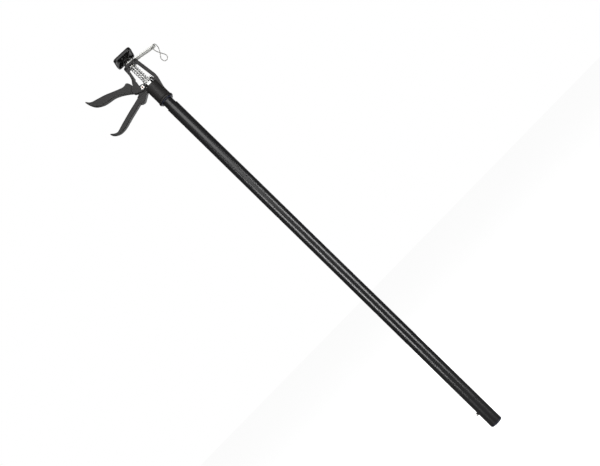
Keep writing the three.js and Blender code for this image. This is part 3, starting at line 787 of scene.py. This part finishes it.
PIECES = [
    (outer_tube(), "outer_pole", "tube", BLACK_COAT, "outer_tube"),
    (end_cap(), "outer_pole", "cap", CAP_NAVY, "pole_end_cap"),
    (inner_tube(), "inner_pole", "tube", BLACK_COAT, "inner_tube"),
    (snap_button(), "button", "steel", button_steel(), "snap_button"),
    (button_leaf(), "inner_pole", "steel", STEEL, "button_spring"),
    (
        softened("yoke_cast_body", "yoke_casting", 0.5, 5, 170_000, 45),
        "inner_pole",
        "casting",
        CASTING,
        "yoke_casting",
    ),
    (collar_liner(), "inner_pole", "liner", NAVY, "collar_liner"),
    (set_screw(), "inner_pole", "steel", STEEL, "collar_set_screw"),
    (rod_nut(), "inner_pole", "chrome", CHROME, "rod_nut"),
    (
        coil(
            "main_coil_spring", 0, SPRING_R, SPRING_WIRE, SPRING_LOW, SPRING_HIGH, SPRING_TURNS, 40, 12
        ),
        "inner_pole",
        "chrome",
        CHROME,
        "main_spring",
    ),
    (rivet(), "inner_pole", "chrome", NICKEL, "pivot_rivet"),
    (rivet_core(), "inner_pole", "copper", COPPER, "rivet_core"),
    (
        coil(
            "release_coil_spring",
            RELEASE_X,
            RELEASE_R,
            RELEASE_WIRE,
            RELEASE_LOW,
            RELEASE_HIGH,
            RELEASE_TURNS,
            24,
            8,
        ),
        "inner_pole",
        "steel",
        STEEL,
        "release_spring",
    ),
    (
        softened("squeeze_lever_cast", "squeeze_lever", 0.5, 5, 120_000, 45),
        "lever",
        "casting",
        CASTING,
        "squeeze_lever",
    ),
    (drive_plate("grip_plate_lower", PLATE_LOW), "drive_plates", "chrome", CHROME, "drive_plate_lower"),
    (drive_plate("grip_plate_upper", PLATE_HIGH), "drive_plates", "chrome", CHROME, "drive_plate_upper"),
    (spring_seat(), "drive_plates", "chrome", CHROME, "spring_seat"),
    (push_rod(), "rod", "chrome", ROD_CHROME, "push_rod"),
    (release_strip(), "strip", "steel", STEEL, "release_strip"),
    (pull_ring(), "ring", "wire", WIRE, "pull_ring"),
    (
        softened("pad_moulding", "pad_plate", 0.4, 3, 90_000),
        "pad",
        "pad_plastic",
        PAD_BLACK,
        "pad_plate",
    ),
    (pad_facing(), "pad", "rubber", RUBBER, "pad_facing"),
    (tilt_pin("tilt_pin_near_rod", -1), "pad", "steel", DARK_STEEL, "tilt_pin_near"),
    (tilt_pin("tilt_pin_far_rod", 1), "pad", "steel", DARK_STEEL, "tilt_pin_far"),
    (swivel_head(), "swivel", "steel", DARK_STEEL, "swivel_head"),
]

for obj, body, slot, material, node in PIECES:
    obj.data.materials.clear()
    obj.data.materials.append(material)
    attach(obj, body)
    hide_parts(node)

# These small inner pieces keep their CAD solids and only get a finish.
for node, material in (
    ("inner_tube_plug", NYLON),
    ("rod_stop", NYLON),
    ("rod_bush", BRONZE),
    ("swivel_clip", STEEL),
):
    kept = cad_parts[node].data
    kept.materials.clear()
    kept.materials.append(material)

# Each spring's joint, axis, fixed end in metres and share of its length left at the joint's limit.
SPRINGS = {
    "main_coil_spring": ("plates_slide", (0, 0, 1), (0, 0, 1.1559), 0.92),
    "release_coil_spring": ("strip_release", (0, 0, 1), (0, 0, 1.1594), 0.954),
    "button_leaf_spring": ("button_press", (1, 0, 0), (0.010, 0, 0.0411), 0.67),
}
for name, (joint, axis, anchor, keep) in SPRINGS.items():
    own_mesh(bpy.data.objects[name])


# ------------------------------------------------------------------ studio
FLOOR_HALF, FLOOR_TOP, FLOOR_T = 30_000, -0.5, 20
FLOOR_GLOW = 0.85  # to the camera only
WORLD_FILL = 0.13  # to everything but the camera
CAMERA_RISE, CAMERA_DISTANCE, CAMERA_TARGET = 6.1, 1.721, (-0.0043, 0, 0.5985)  # degrees, metres


def studio_floor():
    """A wide floor just under the pole's end, pale to the camera and darker to reflections."""
    half, low = FLOOR_HALF, FLOOR_TOP
    plan = [(-half, -half), (half, -half), (half, half), (-half, half)]
    floor = prism("floor", plan, low - FLOOR_T, low)
    s = Surface("pale_floor", Specular_IOR_Level=0.1, Roughness=0.9)
    pale = s.ramp(s.noise(400), [(0.3, (0.90, 0.90, 0.90)), (0.7, (0.93, 0.93, 0.93))])
    rays = s.tree.nodes.new("ShaderNodeLightPath")
    s.colour(s.mix(rays.outputs["Is Camera Ray"], (0.35, 0.35, 0.35), pale))
    s.shader.inputs["Emission Color"].default_value = (1, 1, 1, 1)
    glow = s.tree.nodes.new("ShaderNodeMath")
    glow.operation = "MULTIPLY"
    glow.inputs[1].default_value = FLOOR_GLOW
    s.link(rays.outputs["Is Camera Ray"], glow.inputs[0])
    s.link(glow.outputs[0], s.shader.inputs["Emission Strength"])
    floor.data.materials.append(s.material)


def softbox(name, watts, width, height, azimuth, distance, middle_z):
    """An area light at an azimuth (0 is -Y, 90 is +X) that faces the pole's axis level; metres."""
    data = bpy.data.lights.new(name, "AREA")
    data.shape = "RECTANGLE"
    data.size, data.size_y = width, height
    data.energy = watts
    turn = math.radians(azimuth)
    where = Vector((distance * math.sin(turn), -distance * math.cos(turn), middle_z))
    light = bpy.data.objects.new(name, data)
    bpy.context.scene.collection.objects.link(light)
    light.location = where
    aim = Vector((0, 0, middle_z))
    light.rotation_mode = "QUATERNION"
    light.rotation_quaternion = (aim - where).to_track_quat("-Z", "Y")
    light.visible_camera = False


def studio_world():
    """White to the camera, and a dim grey fill for what surfaces reflect."""
    world = bpy.data.worlds.new("studio")
    world.use_nodes = True
    tree = world.node_tree
    tree.nodes.clear()
    output = tree.nodes.new("ShaderNodeOutputWorld")
    seen = tree.nodes.new("ShaderNodeBackground")
    fill = tree.nodes.new("ShaderNodeBackground")
    seen.inputs["Color"].default_value = (1, 1, 1, 1)
    fill.inputs["Color"].default_value = (1, 1, 1, 1)
    fill.inputs["Strength"].default_value = WORLD_FILL
    rays = tree.nodes.new("ShaderNodeLightPath")
    mix = tree.nodes.new("ShaderNodeMixShader")
    tree.links.new(rays.outputs["Is Camera Ray"], mix.inputs["Fac"])
    tree.links.new(fill.outputs[0], mix.inputs[1])
    tree.links.new(seen.outputs[0], mix.inputs[2])
    tree.links.new(mix.outputs[0], output.inputs["Surface"])
    bpy.context.scene.world = world


def camera():
    """The photograph's view: from a little below the pole's middle, looking slightly up, and rolled."""
    rise = math.radians(CAMERA_RISE)
    forward = Vector((0, math.cos(rise), math.sin(rise)))
    level_up = Vector((0, -math.sin(rise), math.cos(rise)))
    level_right = Vector((1, 0, 0))
    roll_cos, roll_sin = 0.6988, 0.7153
    right = roll_cos * level_right - roll_sin * level_up
    up = roll_sin * level_right + roll_cos * level_up
    data = bpy.data.cameras.new("camera")
    data.sensor_width, data.lens = 36, 45.6
    data.clip_start, data.clip_end = 0.05, 100
    obj = bpy.data.objects.new("camera", data)
    bpy.context.scene.collection.objects.link(obj)
    turn = Matrix((right, up, -forward)).transposed().to_4x4()
    obj.matrix_world = Matrix.Translation(Vector(CAMERA_TARGET) - CAMERA_DISTANCE * forward) @ turn
    bpy.context.scene.camera = obj


studio_floor()
studio_world()
softbox("left_strip", 18, 0.26, 1.0, -39, 1.5, 0.5)
softbox("right_strip", 18, 0.36, 1.0, 45, 1.5, 0.5)
softbox("front_softbox", 34, 2.0, 1.4, 3, 2.3, 1.95)
softbox("back_softbox", 14, 1.6, 1.6, 170, 2.4, 1.2)
softbox("low_back_card", 9, 2.6, 1.0, 180, 2.7, 0.5)
camera()
bpy.context.scene.view_settings.view_transform = "Standard"
